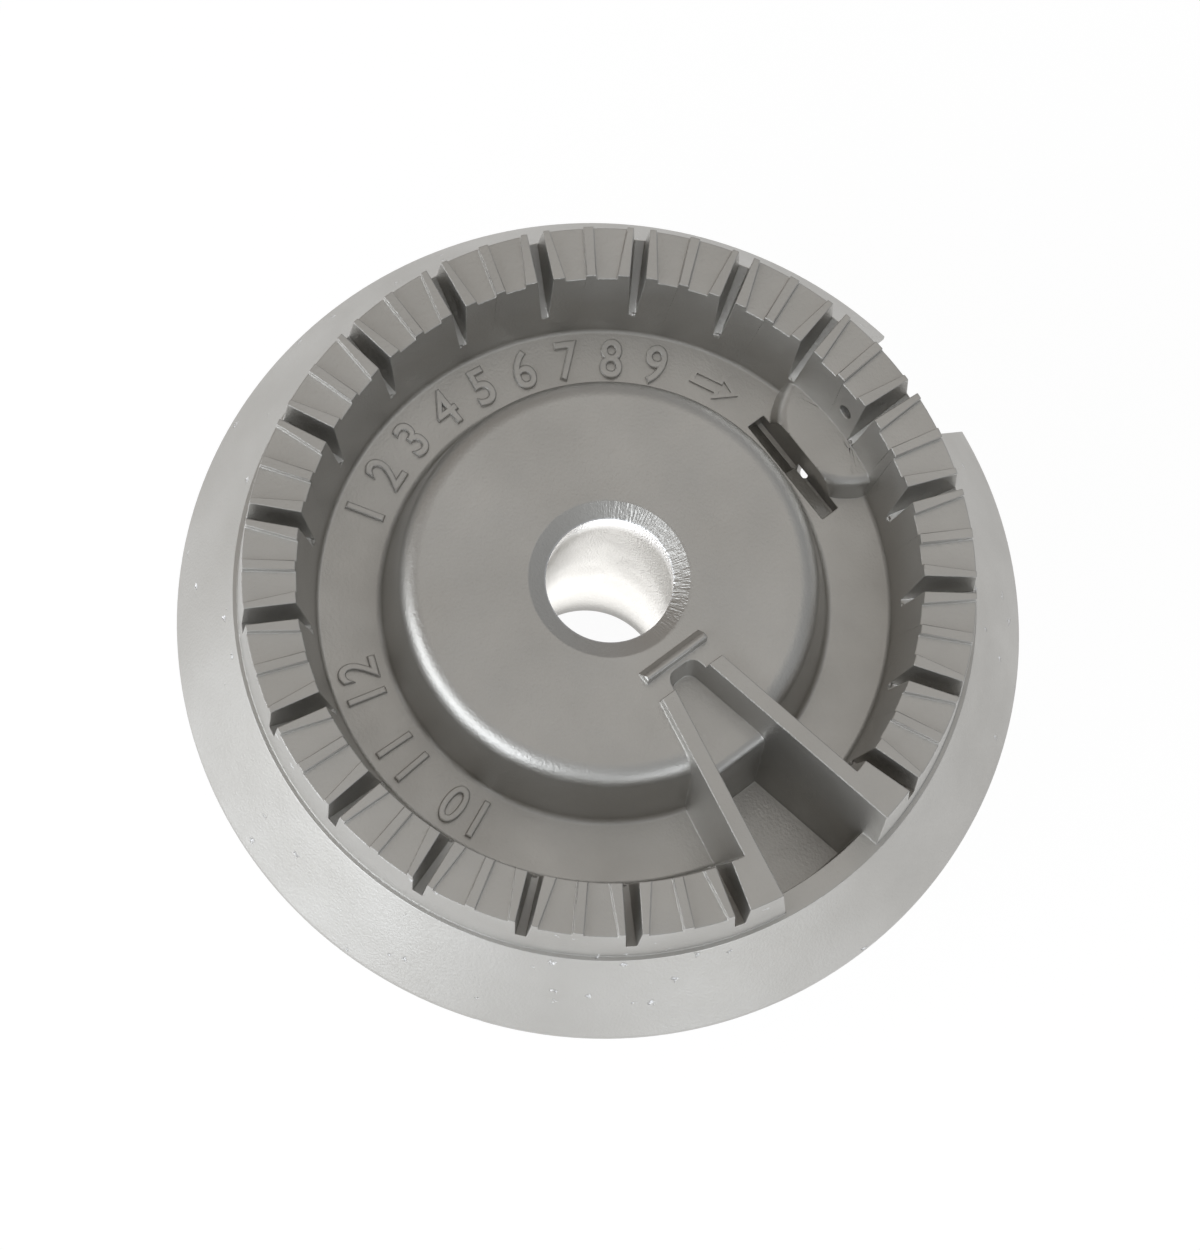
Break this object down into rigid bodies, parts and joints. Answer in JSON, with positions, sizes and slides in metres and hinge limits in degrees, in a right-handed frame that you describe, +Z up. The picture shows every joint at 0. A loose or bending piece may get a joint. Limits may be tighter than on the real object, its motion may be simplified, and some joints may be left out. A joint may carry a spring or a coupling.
{
  "type": "gas burner head",
  "caption": "Cast aluminium gas burner head with a ring of radial flame ports, a flared skirt, a stability chamber, an igniter port and a venturi tube.",
  "frame": {"origin": "centre of the venturi tube's annular foot, on which the part stands", "axes": "+Z up along the tube's axis, +X along the stability chamber, +Y towards the igniter port"},
  "size_m": [0.11, 0.1094, 0.0537],
  "materials": {
    "cast_aluminium": "matte as-cast, grey"
  },
  "bodies": {
    "root": {"burner_head": "cast_aluminium"}
  },
  "joints": []
}
